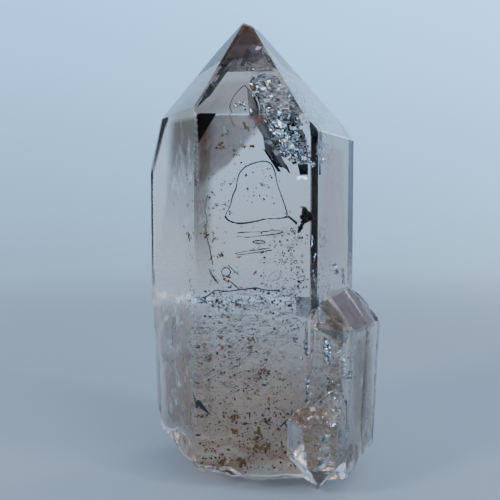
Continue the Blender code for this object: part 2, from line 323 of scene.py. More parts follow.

# Flat films that show as plain grey, most of them painted shade and some painted light over the dark:
# corners (pixels), how far under the surface (mm), tone, and cover
PAINTED_SHADE_SHARDS = (
    (((247, 87), (253, 97), (260, 113), (249, 113)), 3.0, (0.13, 0.12, 0.11), 0.8),
    (((249, 113.5), (260, 114), (279, 142), (263, 137)), 3.0, (0.12, 0.105, 0.095), 0.9),
    (((263, 137), (279, 142), (280, 154), (265, 150)), 3.0, (0.08, 0.07, 0.064), 1.0),
    (((265, 150), (280, 154), (290, 172), (276, 163)), 3.0, (0.05, 0.044, 0.04), 0.9),
    # Painted shade: the dark band by the right edge, turning brown-grey lower down
    (((294, 297), (317.5, 297), (317.5, 308), (296, 302)), 1.0, (0.045, 0.033, 0.022), 0.7),
    (((296, 302), (317.5, 308), (309, 317), (297, 316)), 1.4, (0.12, 0.09, 0.062), 0.65),
    (((311, 282), (318, 282), (318, 309), (311, 309)), 0.5, (0.07, 0.06, 0.05), 0.85),
    # Painted shade over the dark tip
    (((247, 25), (263, 49), (254, 58), (226, 58)), 0.8, (0.13, 0.09, 0.09), 1.7),
    # Painted shade: the black corner at the top left of the front face
    (((200, 113.8), (216, 113.8), (198.5, 143), (197.8, 120)), 0.4, (0.010, 0.008, 0.009), 1.7),
    # Painted light and painted shade at the tip: paler grey over its dark, then a painted dark band along
    # its left edge
    (((241, 53), (247, 58), (246, 72), (228, 72)), 1.2, (0.46, 0.43, 0.46), 0.9),
    (((231, 61), (241, 54), (233, 72), (222, 72)), 1.0, (0.30, 0.28, 0.30), 0.65),
    (((232, 52), (241, 50), (222, 74), (215, 76)), 1.0, (0.025, 0.022, 0.028), 0.95),
    (((222, 72), (230, 68), (210, 96), (203, 101)), 1.0, (0.03, 0.027, 0.031), 0.95),
    (((210, 84), (218, 80), (204, 101), (196.5, 108)), 1.0, (0.012, 0.011, 0.013), 0.95),
    # Painted shade on the side crystal's front facet
    (((318, 305), (327, 299), (350, 326), (349, 334)), 0.5, (0.10, 0.08, 0.07), 0.85),
    (((317, 306), (349, 334), (346, 344), (318, 330)), 0.5, (0.17, 0.14, 0.12), 0.6),
    # Painted shade: the black top of the band by the right edge
    (((310.5, 119), (318.2, 128.5), (318.2, 136), (310.5, 136)), 0.4, (0.004, 0.004, 0.005), 1.8),
    # Painted shade and painted light at the tip, to the end of the table
    (((254, 42), (262, 48), (252, 58), (247, 55)), 0.8, (0.20, 0.17, 0.21), 0.8),
    # A painted highlight
    (((257, 46), (262, 47), (259, 50), (255, 50)), 0.6, (0.95, 0.92, 0.90), 0.9),
    (((249, 58), (258, 50), (266, 56), (252, 64)), 0.7, (0.16, 0.14, 0.17), 0.85),
    (((250, 63), (266, 57), (275, 69), (254, 71)), 1.0, (0.50, 0.46, 0.43), 0.9),
    (((247, 48), (251, 52), (244, 66), (240, 66)), 0.6, (0.06, 0.045, 0.07), 0.9),
    (((262, 50), (270, 57), (277, 70), (268, 62)), 0.6, (0.05, 0.042, 0.048), 0.85),
)

# Small cracks that glint: left rim and right rim (pixels), the face they show through, and how far under it
GLINTS = (
    (((324, 334), (323, 350), (327, 364)), ((328, 333), (331, 350), (330, 365)), "side_front", 1.2),
    (((337, 352), (339, 362), (344, 369)), ((340, 350), (345, 360), (347, 369)), "side_front", 1.8),
    (((341, 372), (344, 379)), ((350, 371), (349, 382)), "side_front", 1.0),
    (((321, 395), (323, 400)), ((340, 399), (341, 404)), "side_front", 1.6),
    (((326, 408), (327, 418)), ((331, 407), (333, 420)), "side_front", 2.2),
    (((335, 424), (337, 438)), ((341, 423), (346, 437)), "side_front", 2.0),
    (((316, 430), (320, 448)), ((326, 428), (331, 449)), "side_front", 1.4),
    (((315, 452), (319, 458)), ((333, 450), (331, 460)), "side_front", 1.8),
    (((354, 340), (356, 352)), ((356, 339), (360, 351)), "side_right", 0.8),
    (((357, 356), (358, 370)), ((359, 355), (362, 369)), "side_right", 1.0),
    (((332, 264), (334, 275)), ((337, 263), (339, 274)), "right", 1.2),
    (((341, 268), (342, 284)), ((344, 268), (345, 285)), "right", 1.0),
    (((172, 318), (170, 345)), ((176, 316), (176, 344)), "left", 1.2),
    (((311.6, 236), (311, 247)), ((313, 235), (312.6, 246)), "front", 0.8),
    (((314.6, 253), (313.6, 262)), ((316, 252.6), (314.6, 261)), "front", 1.2),
    (((312.6, 270), (314.6, 283)), ((313.4, 269.6), (316, 282)), "front", 0.9),
    (((310, 162), (312, 167)), ((314, 162), (316, 166)), "front", 1.0),
    (((228, 299), (231, 303)), ((234, 299), (236, 303)), "front", 2.6),
    (((244, 300), (246, 303)), ((250, 299), (252, 303)), "front", 3.2),
    (((303, 340), (304, 352)), ((308, 338), (310, 353)), "front", 1.0),
    (((305, 378), (306, 400)), ((309, 377), (311, 398)), "front", 1.2),
)

# A glint turns towards the right by this slope, which catches the bright card there
GLINT_TURN = 0.25
# How far glints are creased, the white bar and the bright flake least (mm)
GLINT_CREASE = 0.05
WHITE_BAR_CREASE = 0.004
SPARK_CREASE = 0.015
WHITE_BAR = (((297.5, 176.2), (296.5, 179.6)), ((308.5, 176.2), (306.5, 179.6)))
WHITE_BAR_UNDER = 2.0
# A bright flake by the left edge, level with the front face at this depth (mm)
LEFT_SPARK = (((190.5, 297), (192.5, 303.5)), ((197.3, 296), (197.3, 302.5)))
LEFT_SPARK_DEPTH = 2.4
# The smaller glints: widths, heights and slant in pixels, and how far they lie under the surface (mm)
SMALL_GLINT_WIDTHS = (0.6, 2.6)
SMALL_GLINT_HEIGHTS = (1.0, 4.6)
SMALL_GLINT_SLANT = 1.5
SMALL_GLINT_UNDER = (0.4, 1.6)
SMALL_GLINT_CREASE = 0.04
# Fields of them: middle, half width and half height in pixels, and how many
GLINT_FIELDS = (
    ((331, 362), (14, 40), 44),
    ((325, 430), (16, 26), 38),
    ((361, 380), (9, 50), 12),
    ((305, 360), (4, 40), 10),
    ((326, 148), (6, 14), 12),
    ((240, 105), (6, 5), 9),
    ((252, 104), (10, 10), 5),
    ((262, 66), (9, 5), 4),
)

# How far in from its left, right, top and foot a film thickens, as a share of its size
SOFT_RIM = (0.22, 0.22, 0.22, 0.22)
CRISP_LEFT = (0.01, 0.6, 0.1, 0.5)
SOFT_LEFT = (0.02, 0.7, 0.3, 0.4)
CRISP_TOP = (0.05, 0.22, 0.02, 0.22)
FADING_FOOT = (0.3, 0.1, 0.02, 0.85)
# Hazy sheets, and films of painted shade and of painted reflection: corners (pixels), how far their top and
# foot lie under the surface (mm), colour, cover, streak, bare share, and the rim where it isn't the soft
# one
HAZE_AND_PAINTED_LIGHT_FILMS = (
    (((316, 318), (345, 330), (349, 392), (306, 392)), (0.8, 2.6), (1.0, 0.86, 0.74), 1.0, 1.0, 0.3),
    (((312, 330), (349, 340), (346, 440), (300, 430)), (2.4, 3.6), (0.95, 0.80, 0.66), 0.9, 1.0, 0.38),
    (((292, 400), (346, 402), (344, 470), (296, 466)), (0.6, 1.6), (0.50, 0.38, 0.26), 0.75, 1.0, 0.32),
    # Painted reflection: a lilac-grey film over the side crystal's tip face, in the tone of the grey card
    # it mirrors
    (
        ((330, 296), (350, 287.5), (376, 326), (357, 334)),
        (0.3, 0.6), (0.38, 0.31, 0.31), 1.3, 1.0, 0.1, (0.08,) * 4,
    ),
    (((351, 314), (374, 330), (373, 430), (351, 440)), (0.8, 1.4), (0.46, 0.36, 0.29), 0.85, 0.4, 0.28),
    (((154, 296), (197, 296), (197, 372), (158, 372)), (0.5, 0.8), (0.54, 0.40, 0.33), 0.8, 0.5, 0.32),
    (((160, 350), (196, 345), (196, 440), (164, 430)), (0.6, 0.9), (0.49, 0.30, 0.17), 0.8, 0.6, 0.3),
    (
        ((168, 120), (197, 115), (197, 270), (156, 270)),
        (0.5, 0.8), (0.28, 0.16, 0.10), 0.6, 0.3, 0.26, FADING_FOOT,
    ),
    # Painted shade: a brown film at the top of the front face, below the tip
    (
        ((198, 113), (280, 113), (226, 168), (198, 196)),
        (1.0, 2.0), (0.36, 0.19, 0.11), 0.75, 0.6, 0.14, CRISP_TOP,
    ),
    (
        ((197.6, 116), (216, 116), (214, 300), (197.6, 300)),
        (1.4, 1.6), (0.27, 0.18, 0.10), 0.7, 0.3, 0.2, CRISP_LEFT,
    ),
    (
        ((197.6, 290), (216, 290), (222, 440), (198, 440)),
        (2.6, 3.0), (0.26, 0.19, 0.13), 0.7, 2.2, 0.38, SOFT_LEFT,
    ),
    (((256, 38), (261, 40), (345, 137), (314, 124)), (1.5, 1.7), (1.0, 0.94, 0.88), 0.85, 0.4, 0.2),
    # Painted reflection: a pale film on the right prism face, for the silvery fracture mirrored there
    (((319, 130), (334, 134), (334, 170), (319, 166)), (0.5, 1.0), (0.95, 0.90, 0.86), 0.9, 0.7, 0.4),
    (((252, 44), (262, 46), (280, 76), (240, 80)), (2.0, 4.5), (0.60, 0.58, 0.60), 1.0, 0.5, 0.46),
    (((214, 80), (262, 74), (258, 112), (202, 112)), (1.2, 1.6), (0.46, 0.29, 0.19), 0.34, 0.5, 0.16),
    (
        ((320, 142), (345, 148), (345, 286), (320, 280)),
        (0.6, 0.9), (0.75, 0.34, 0.28), 0.4, 0.3, 0.2, FADING_FOOT,
    ),
    (((252, 74), (284, 74), (302, 113), (260, 113)), (1.5, 3.0), (1.0, 0.95, 0.96), 0.8, 1.8, 0.42),
    (((243, 58), (274, 60), (280, 80), (240, 80)), (1.4, 2.4), (0.95, 0.92, 0.90), 1.0, 1.6, 0.46),
)

# Healed veils: the same, but their top and foot lie this far behind the front face (mm)
WARM_FOOT = (0.08, 0.08, 0.5, 0.01)
HEALED_VEILS = (
    (((197, 294), (312, 280), (312, 330), (197, 338)), (2.0, 9.0), (0.24, 0.22, 0.20), 0.85, 2.8, 0.46),
    (((198, 310), (306, 296), (308, 350), (202, 372)), (4.0, 12.0), (1.0, 0.80, 0.66), 0.75, 2.2, 0.46),
    (((214, 340), (300, 322), (298, 392), (206, 404)), (3.0, 9.0), (0.95, 0.73, 0.55), 0.75, 1.3, 0.42),
    (
        ((190, 290), (316, 310), (308, 481), (188, 479)),
        (13.0, 2.4), (0.90, 0.66, 0.48), 0.8, 1.0, 0.2, WARM_FOOT,
    ),
    (((262, 225), (312, 205), (312, 262), (252, 268)), (8.0, 15.0), (0.30, 0.28, 0.26), 0.4, 1.2, 0.46),
)

# How far films bulge in and out (mm), and how fine their clouds are
VEIL_BULGE = 1.2
FOOT_FILM_BULGE = 0.5
HAZE_BULGE = 0.3
VEIL_CLOUDS = 0.55
HAZE_CLOUDS = 0.8

# Smokier zones of the quartz: middle, half sizes (mm), and how smoky
SMOKE_ZONES = (
    ((-8.5, -12.0, 52.5), (9.5, 13.0, 9.0), 0.9),
    ((-11.5, -9.0, 52.0), (6.5, 6.5, 11.0), 0.6),
    ((0.0, -4.0, 0.0), (30.0, 30.0, 27.0), 0.7),
    ((14.0, -10.0, 16.0), (9.0, 10.0, 19.0), 0.6),
    ((0.0, 0.0, 71.0), (9.0, 9.0, 8.0), 0.9),
)

# The crystal's fine shape (mm): bevels along growth edges this long and above this height
GROWTH_EDGE_LENGTH = 3.0
GROWTH_EDGE_FOOT = 11.0
GROWTH_EDGE_WIDTH = 0.07
FINEST_EDGE = 0.8
LEDGE_WAVE = 1.0
# Heights over which the ledge's waves start and end, and the other ripples fade (mm)
LEDGE_HEIGHTS = ((17.0, 22.0), (28.0, 33.0))
BREAK_HEIGHTS = (6.0, 9.0)
SIDE_CRYSTALS_FROM = 9.5
SIDE_CRYSTAL_TOP = (31.0, 34.0)
TIP_HEIGHTS = (55.0, 60.0)
# What lies lower than this is the flat spot that the crystal rests on, and isn't moved
REST_TOP = 0.02

# How far under the surface a film or blade stays (mm)
FILM_MARGIN = 0.15

# Object coordinates times this are millimetres
IN_MM = (1000.0, 1000.0, 1000.0)


# Places

def face_normal(bearing, lean=0.0):
    around = math.radians(bearing)
    up = math.radians(lean)
    flat = math.cos(up)
    return Vector((flat * math.cos(around), flat * math.sin(around), math.sin(up)))


def sight_line(pixel):
    """Direction from the camera through a pixel of the photograph's frame."""
    pitch = math.radians(CAMERA_PITCH)
    right = (pixel[0] - FRAME_PX / 2) / FOCAL_PX
    up = (FRAME_PX / 2 - pixel[1]) / FOCAL_PX
    forward = Vector((0, math.cos(pitch), -math.sin(pitch)))
    upward = Vector((0, math.sin(pitch), math.cos(pitch)))
    return (forward + right * Vector((1, 0, 0)) + up * upward).normalized()


def bent_ray(ray, normal):
    """The sight line's direction once it has entered the quartz."""
    ratio = 1.0 / QUARTZ_IOR
    cosine = -ray.dot(normal)
    bend = ratio * cosine - math.sqrt(1 - ratio**2 * (1 - cosine**2))
    return ratio * ray + bend * normal


def seen_inside(pixel, depth, face=None, under=None):
    """The place in the quartz (mm) that shows at a pixel, this far behind the front prism face.

    With under, it is instead that far under the face itself.
    """
    if face is None:
        face = "tip" if pixel[1] < TIP_EDGE_PX else "front"
    bearing, lean, point = FACES[face]
    normal = face_normal(bearing, lean)
    camera = Vector(CAMERA_AT)
    ray = sight_line(pixel)
    reach = (Vector(point) - camera).dot(normal) / ray.dot(normal)
    on_face = camera + ray * reach
    inner = bent_ray(ray, normal)
    if under is not None:
        return on_face + inner * (under / -inner.dot(normal))
    return on_face + inner * ((FRONT_Y + depth - on_face.y) / inner.y)


def crystal_tree():
    """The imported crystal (mm), ready to be hit by sight lines."""
    bm = crystal_copy()
    bmesh.ops.triangulate(bm, faces=bm.faces)
    tree = BVHTree.FromBMesh(bm)
    bm.free()
    return tree


def under_surface(tree, pixel, under):
    """The place in the quartz (mm) that shows at a pixel, this far under whichever face is seen there."""
    ray = sight_line(pixel)
    on_face, normal, _index, _reach = tree.ray_cast(Vector(CAMERA_AT), ray)
    if on_face is None:
        raise RuntimeError(f"no crystal at pixel {tuple(pixel)}")
    inner = bent_ray(ray, normal)
    return on_face + inner * (under / -inner.dot(normal))


def kept_inside(tree, place, margin):
    """The place itself, or where it lies too near the surface, this far under it (mm)."""
    on_face, normal, _index, _reach = tree.find_nearest(place)
    if (on_face - place).dot(normal) >= margin:
        return place
    return on_face - normal * margin


# Material helpers

def feed(tree, socket, value):
    """Sets a socket to a value, or links it from another node."""
    if isinstance(value, bpy.types.NodeSocket):
        tree.links.new(value, socket)
    else:
        socket.default_value = value


def add_node(tree, kind, output, inputs, **settings):
    """One output of a new shader node, once its settings are made and its inputs fed."""
    node = tree.nodes.new(f"ShaderNode{kind}")
    for name, value in settings.items():
        setattr(node, name, value)
    for name, value in inputs.items():
        feed(tree, node.inputs[name], value)
    return node.outputs[output]


def new_material(name):
    """A material, its node tree, and the inputs of its shader."""
    material = bpy.data.materials.new(name)
    material.use_nodes = True
    return material, material.node_tree, material.node_tree.nodes["Principled BSDF"].inputs


def object_places(tree, scale):
    """Object coordinates times the pattern's scale."""
    places = add_node(tree, "TexCoord", "Object", {})
    return add_node(tree, "Mapping", "Vector", {"Vector": places, "Scale": scale})


def noise_texture(tree, places, scale, detail=3.0, roughness=0.55):
    inputs = {"Vector": places, "Scale": scale, "Detail": detail, "Roughness": roughness}
    return add_node(tree, "TexNoise", "Fac", inputs)


def remap(tree, value, old, new):
    """The value eased from one range to another."""
    inputs = {"Value": value, "From Min": old[0], "From Max": old[1], "To Min": new[0], "To Max": new[1]}
    return add_node(tree, "MapRange", "Result", inputs, interpolation_type="SMOOTHSTEP")


def ramp(tree, value, stops):
    """A colour for each stop's place along the value."""
    node = tree.nodes.new("ShaderNodeValToRGB")
    elements = node.color_ramp.elements
    while len(elements) < len(stops):
        elements.new(0.5)
    for element, (place, colour) in zip(elements, stops):
        element.position = place
        element.color = (*colour, 1.0)
    feed(tree, node.inputs["Fac"], value)
    return node.outputs["Color"]


def math_node(tree, operation, *values):
    return add_node(tree, "Math", "Value", dict(enumerate(values)), operation=operation)


def vector_math(tree, operation, *values):
    return add_node(tree, "VectorMath", "Vector", dict(enumerate(values)), operation=operation)


def vector_length(tree, vector):
    return add_node(tree, "VectorMath", "Value", {0: vector}, operation="LENGTH")


# Materials

def smoke_zone_group():
    """A mask that is 1 at the middle of an egg-shaped zone and falls softly to 0 at its rim."""
    group = bpy.data.node_groups.new("smoke_zone", "ShaderNodeTree")
    kinds = {"Place": "Vector", "Middle": "Vector", "Half Size": "Vector", "Strength": "Float"}
    for name, kind in kinds.items():
        group.interface.new_socket(name, in_out="INPUT", socket_type=f"NodeSocket{kind}")
    group.interface.new_socket("Mask", in_out="OUTPUT", socket_type="NodeSocketFloat")
    given = group.nodes.new("NodeGroupInput").outputs
    offset = vector_math(group, "SUBTRACT", given["Place"], given["Middle"])
    length = vector_length(group, vector_math(group, "DIVIDE", offset, given["Half Size"]))
    inside = remap(group, length, (0.15, 1.0), (1.0, 0.0))
    mask = math_node(group, "MULTIPLY", inside, given["Strength"])
    feed(group, group.nodes.new("NodeGroupOutput").inputs["Mask"], mask)
    return group


def smoky_tone(tree, places, settings):
    """What each surface lets through: clear quartz, and browner in the smoke zones."""
    clear = 1.0
    group = smoke_zone_group()
    for middle, half, strength in SMOKE_ZONES:
        zone = {"Place": places, "Middle": middle, "Half Size": half, "Strength": strength}
        mask = add_node(tree, "Group", "Mask", zone, node_tree=group)
        clear = math_node(tree, "MULTIPLY", clear, math_node(tree, "SUBTRACT", 1.0, mask))
    wisps = noise_texture(tree, places, 0.22)
    uneven = math_node(tree, "MULTIPLY_ADD", wisps, 0.5, -0.25)
    amount = math_node(tree, "ADD", clear, math_node(tree, "MULTIPLY", uneven, 0.7))
    return ramp(tree, amount, [(0.0, tuple(settings.zone_colour)), (0.92, (1.0, 0.985, 0.97))])


def frost(tree, places):
    """Rough patches on the broken base, and on the ledge at the rear."""
    parts = add_node(tree, "SeparateXYZ", "X", {"Vector": places}).node.outputs
    patches = noise_texture(tree, places, 0.35, 4.0)
    broken = remap(tree, parts["Z"], (3.0, 9.0), (1.0, 0.0))
    break_frost = math_node(tree, "MULTIPLY", broken, remap(tree, patches, (0.35, 0.6), (0.04, 0.22)))
    above = remap(tree, parts["Z"], (20.0, 22.0), (0.0, 1.0))
    below = remap(tree, parts["Z"], (26.5, 29.0), (1.0, 0.0))
    behind = remap(tree, parts["Y"], (-4.0, 1.0), (0.0, 0.5))
    rear_ledge = math_node(tree, "MULTIPLY", math_node(tree, "MULTIPLY", above, below), behind)
    return math_node(tree, "MAXIMUM", break_frost, rear_ledge)


def smoky_quartz_material(settings):
    """Clear quartz: plain transmission and IOR, smoke in the glass, and fine growth lines."""
    material, tree, shader = new_material("smoky_quartz")
    places = object_places(tree, IN_MM)
    shader["Transmission Weight"].default_value = 1.0
    shader["IOR"].default_value = QUARTZ_IOR
    shader["Roughness"].default_value = 0.0
    feed(tree, shader["Base Color"], smoky_tone(tree, places, settings))
    feed(tree, shader["Roughness"], frost(tree, places))
    striation = noise_texture(tree, object_places(tree, (300.0, 300.0, 5200.0)), 1.0, 2.0)
    lines = {"Strength": 0.12, "Distance": 0.00008, "Height": striation}
    feed(tree, shader["Normal"], add_node(tree, "Bump", "Normal", lines))
    smoke = {"Color": (*settings.smoke_colour, 1.0), "Density": settings.smoke_density}
    volume = add_node(tree, "VolumeAbsorption", "Volume", smoke)
    feed(tree, tree.nodes["Material Output"].inputs["Volume"], volume)
    return material


def grain_material(name, dark, light, scale, roughness):
    """Earthy grains: two tones mixed by noise, with a rough, uneven surface."""
    material, tree, shader = new_material(name)
    mottling = noise_texture(tree, object_places(tree, IN_MM), scale)
    feed(tree, shader["Base Color"], ramp(tree, mottling, [(0.35, dark), (0.65, light)]))
    feed(tree, shader["Roughness"], remap(tree, mottling, (0.2, 0.8), roughness))
    return material


def silver_veil_material():
    """An open fracture inside quartz throws all light back, so it looks like crumpled silver. Its dark
    patches are painted shade.
    """
    material, tree, shader = new_material("silvery_fracture")
    crumple = noise_texture(tree, object_places(tree, IN_MM), 2.6, 4.0, 0.6)
    # The near-black stop is painted shade: dark patches in the silver for facets that show dark
    stops = [(0.42, (0.02, 0.02, 0.02)), (0.46, (0.80, 0.86, 0.92)), (0.6, (0.92, 0.98, 1.0))]
    feed(tree, shader["Base Color"], ramp(tree, crumple, stops))
    feed(tree, shader["Roughness"], remap(tree, crumple, (0.3, 0.7), (0.2, 0.04)))
    shader["Metallic"].default_value = 1.0
    return material


def veil_material(name, colour, cover, scale, streak, bare):
    """A film of tiny droplets as in a healed fracture, thicker here and thinner there; it also serves for
    painted shade and painted reflection.
    """
    material, tree, shader = new_material(name)
    places = object_places(tree, (1000.0, 1000.0 * streak, 1000.0 * streak))
    clouds = noise_texture(tree, places, scale, 6.0, 0.68)
    film = remap(tree, clouds, (bare, bare + 0.26), (0.0, cover))
    rim = add_node(tree, "Attribute", "Fac", {}, attribute_name="cover")
    feed(tree, shader["Alpha"], math_node(tree, "MULTIPLY", film, rim))
    pale = tuple(min(1.0, 1.6 * part) for part in colour)
    feed(tree, shader["Base Color"], ramp(tree, clouds, [(0.4, colour), (0.7, pale)]))
    shader["Roughness"].default_value = 0.6
    return material


def painted_shade_material():
    """A plain grey film that paints shade and light, with the tone and cover that each shard carries."""
    material, tree, shader = new_material("painted_shade_shards")
    tone = add_node(tree, "Attribute", "Color", {}, attribute_name="tone")
    clouds = noise_texture(tree, object_places(tree, IN_MM), 0.7, 4.0, 0.6)
    mottling = {0: tone, "Scale": remap(tree, clouds, (0.3, 0.7), (0.6, 1.4))}
    mottled = add_node(tree, "VectorMath", "Vector", mottling, operation="SCALE")
    feed(tree, shader["Base Color"], mottled)
    patchy = remap(tree, clouds, (0.3, 0.55), (0.6, 1.0))
    cover = math_node(tree, "MULTIPLY", patchy, tone.node.outputs["Alpha"])
    feed(tree, shader["Alpha"], cover)
    shader["Roughness"].default_value = 0.5
    return material


def floor_material(settings):
    """Pale paper that thins out far from the crystal, so that no edge of it shows."""
    material, tree, shader = new_material("studio_floor")
    shader["Base Color"].default_value = (*settings.floor_colour, 1.0)
    places = object_places(tree, (1.0, 1.0, 1.0))
    grain = noise_texture(tree, places, 900.0, 2.0)
    feed(tree, shader["Roughness"], remap(tree, grain, (0.3, 0.7), (0.75, 0.9)))
    feed(tree, shader["Alpha"], remap(tree, vector_length(tree, places), FLOOR_FADE, (1.0, 0.0)))
    return material


def mixed(tree, factor, first, second, **settings):
    """The first colour mixed with the second."""
    inputs = {"Factor": factor, "A": first, "B": second}
    return add_node(tree, "Mix", "Result", inputs, data_type="RGBA", **settings)


def studio_world(settings):
    """Pale air all round. Only rays that went through or off the crystal see the dark cards."""
    world = bpy.data.worlds.new("studio_air")
    world.use_nodes = True
    tree = world.node_tree
    direction = add_node(tree, "TexCoord", "Generated", {})
    parts = add_node(tree, "SeparateXYZ", "X", {"Vector": direction}).node.outputs
    height = math_node(tree, "MULTIPLY_ADD", parts["Z"], 0.5, 0.5)
    around = math_node(tree, "ARCTAN2", parts["Y"], parts["X"])
    turn = math_node(tree, "MULTIPLY_ADD", around, 0.5 / math.pi, 0.5)
    sky = ramp(tree, height, [(0.5 + place / 2, colour) for place, colour in SKY])
    lift = ramp(tree, height, [(0.5 + place / 2, (s, s, s)) for place, s in OVERHEAD])
    glow = ramp(tree, turn, [(0.5 + bearing / 360, (s, s, s)) for bearing, s in AIR_BEHIND])
    tinted = [(0.5 + bearing / 360, tuple(s * part for part in CARD_TINT)) for bearing, s in CARDS]
    cards = vector_math(tree, "MULTIPLY", ramp(tree, turn, tinted), lift)
    carded = mixed(tree, 1.0, sky, cards, blend_type="MULTIPLY")
    behind = vector_math(tree, "MULTIPLY", sky, glow)
    path = add_node(tree, "LightPath", "Is Camera Ray", {}).node.outputs
    seen = mixed(tree, path["Is Camera Ray"], carded, behind)
    lit = mixed(tree, path["Is Diffuse Ray"], seen, (*settings.fill_colour, 1.0))
    feed(tree, tree.nodes["Background"].inputs["Color"], lit)
    return world


def new_object(name, bm, material):
    """An object in the scene from a mesh in metres, all of one material."""
    mesh = bpy.data.meshes.new(name)
    bm.to_mesh(mesh)
    bm.free()
    mesh.materials.append(material)
    made = bpy.data.objects.new(name, mesh)
    bpy.context.scene.collection.objects.link(made)
    return made


def dark_cards(name, places, tone):
    """Flat cards that the camera doesn't see, each a unit square put in its place."""
    bm = bmesh.new()
    for place in places:
        bmesh.ops.create_grid(bm, x_segments=1, y_segments=1, size=0.5, matrix=place)
    material, _tree, shader = new_material(name)
    shader["Base Color"].default_value = (*tone, 1.0)
    shader["Roughness"].default_value = 0.9
    shader["Specular IOR Level"].default_value = 0.0
    cards = new_object(name, bm, material)
    cards.visible_camera = False
    cards.visible_diffuse = False
    cards.visible_shadow = False
    return cards


def soft_light(name, place, size, power):
    """A square soft box (metres and watts) that faces the crystal's middle."""
    data = bpy.data.lights.new(name, "AREA")
    data.shape = "SQUARE"
    data.size = size
    data.energy = power
    data.color = LIGHT_COLOUR
    light = bpy.data.objects.new(name, data)
    light.location = place
    toward = Vector(CRYSTAL_MIDDLE) - Vector(place)
    light.rotation_euler = toward.to_track_quat("-Z", "Y").to_euler()
    bpy.context.scene.collection.objects.link(light)
    return light


# Meshes

def crystal_copy():
    """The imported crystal's mesh in mm, with its loose triangles joined and each flat face whole."""
    bm = bmesh.new()
    bm.from_mesh(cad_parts[NODE].data)
    bmesh.ops.scale(bm, vec=(1 / MM, 1 / MM, 1 / MM), verts=bm.verts)
    bmesh.ops.remove_doubles(bm, verts=bm.verts, dist=0.001)
    bmesh.ops.dissolve_limit(bm, angle_limit=math.radians(0.3), verts=bm.verts, edges=bm.edges)
    return bm


def soften_growth_edges(bm):
    """A narrow bevel on the long edges between growth faces, as wear leaves it."""
    long_edges = [
        edge
        for edge in bm.edges
        if edge.calc_length() > GROWTH_EDGE_LENGTH
        and edge.calc_face_angle(0.0) > math.radians(20)
        and min(vert.co.z for vert in edge.verts) > GROWTH_EDGE_FOOT
    ]
    bmesh.ops.bevel(
        bm,
        geom=long_edges,
        offset=GROWTH_EDGE_WIDTH,
        offset_type="OFFSET",
        affect="EDGES",
        segments=2,
        profile=0.5,
        material=-1,
        clamp_overlap=True,
    )


def refine(bm, longest):
    """Splits every edge over this length (mm) until none is left, and keeps triangles."""
    bmesh.ops.triangulate(bm, faces=bm.faces)
    for _round in range(12):
        long_edges = [edge for edge in bm.edges if edge.calc_length() > longest]
        if not long_edges:
            break
        bmesh.ops.subdivide_edges(bm, edges=long_edges, cuts=1)
        bmesh.ops.triangulate(bm, faces=[face for face in bm.faces if len(face.verts) > 3])


def ease(value, low, high):
    """0 below low, 1 above high, and a smooth step between them."""
    part = min(1.0, max(0.0, (value - low) / (high - low)))
    return part * part * (3 - 2 * part)


def ripple(place, size, seed=0.0):
    """Smooth noise of -1 to 1 with hills this many mm across."""
    return noise.noise(place / size + Vector((seed, seed * 1.7, -seed)))


def weather(bm):
    """Moves the fine mesh a little: a ragged ledge, a rippled break, and uneven small crystals."""
    bm.normal_update()
    moves = []
    for vert in bm.verts:
        place = vert.co
        ledge = ease(place.z, *LEDGE_HEIGHTS[0]) * (1 - ease(place.z, *LEDGE_HEIGHTS[1]))
        if place.x > SIDE_CRYSTALS_FROM and place.y < 0.0:
            ledge = 0.0
        column = Vector((place.x, place.y, 0.0))
        rise = LEDGE_WAVE * ledge * (ripple(column, 6.0, 3.1) + 0.6 * ripple(column, 1.8, 5.2))
        broken = 1 - ease(place.z, *BREAK_HEIGHTS)
        side = ease(place.x, 8.0, 11.0) * ease(-place.y, 2.0, 5.0) * (1 - ease(place.z, *SIDE_CRYSTAL_TOP))
        wave = 0.10 * broken * ripple(place, 1.6, 1.3) + 0.035 * side * ripple(place, 1.3, 2.2)
        wave += 0.004 * ripple(place, 4.0, 7.7)
        tip_rear = ease(place.z, *TIP_HEIGHTS) * ease(place.y, -1.0, 3.0)
        wave += tip_rear * (0.05 * ripple(place, 2.6, 4.4) + 0.02 * ripple(place, 1.1, 6.1))
        moves.append(vert.normal * wave + Vector((0.0, 0.0, rise)))
    low, high = [corner / MM for corner in CAD_BOX]
    for vert, move in zip(bm.verts, moves):
        if vert.co.z < REST_TOP:
            continue
        moved = vert.co + move
        vert.co = [min(max(moved[i], low[i]), high[i]) for i in range(3)]


def finish_piece(name, bm, material, sharp_angle=None):
    """A piece in the scene from a mesh in mm: it rides on the crystal's body."""
    bmesh.ops.scale(bm, vec=(MM, MM, MM), verts=bm.verts)
    piece = new_object(name, bm, material)
    if sharp_angle is not None:
        piece.data.shade_smooth()
        piece.data.set_sharp_from_angle(angle=math.radians(sharp_angle))
    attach(piece, BODY)
    return piece


def sown_depth(pixel, depths, rng):
    """A depth for a grain: anywhere in the crystal higher up, and near the front towards the foot."""
    share = 1.0 - (1.0 - FORWARD_SHARE) * ease(pixel[1], *FORWARD_ROWS)
    return depths[0] * max(share, 0.6) + (depths[1] - depths[0]) * rng.random() * share


def lump(bm, middle, size, rng):
    """A tiny uneven grain at a place (mm)."""
    turn = Matrix.Rotation(rng.uniform(0, math.pi), 4, Vector((rng.random(), rng.random(), 1.0)))
    flat = Matrix.Diagonal((size, size * rng.uniform(0.5, 1.0), size * rng.uniform(0.35, 0.9), 1.0))
    made = bmesh.ops.create_icosphere(
        bm, subdivisions=1, radius=1.0, matrix=Matrix.Translation(middle) @ turn @ flat
    )
    for vert in made["verts"]:
        vert.co += (vert.co - middle) * rng.uniform(-0.3, 0.25)


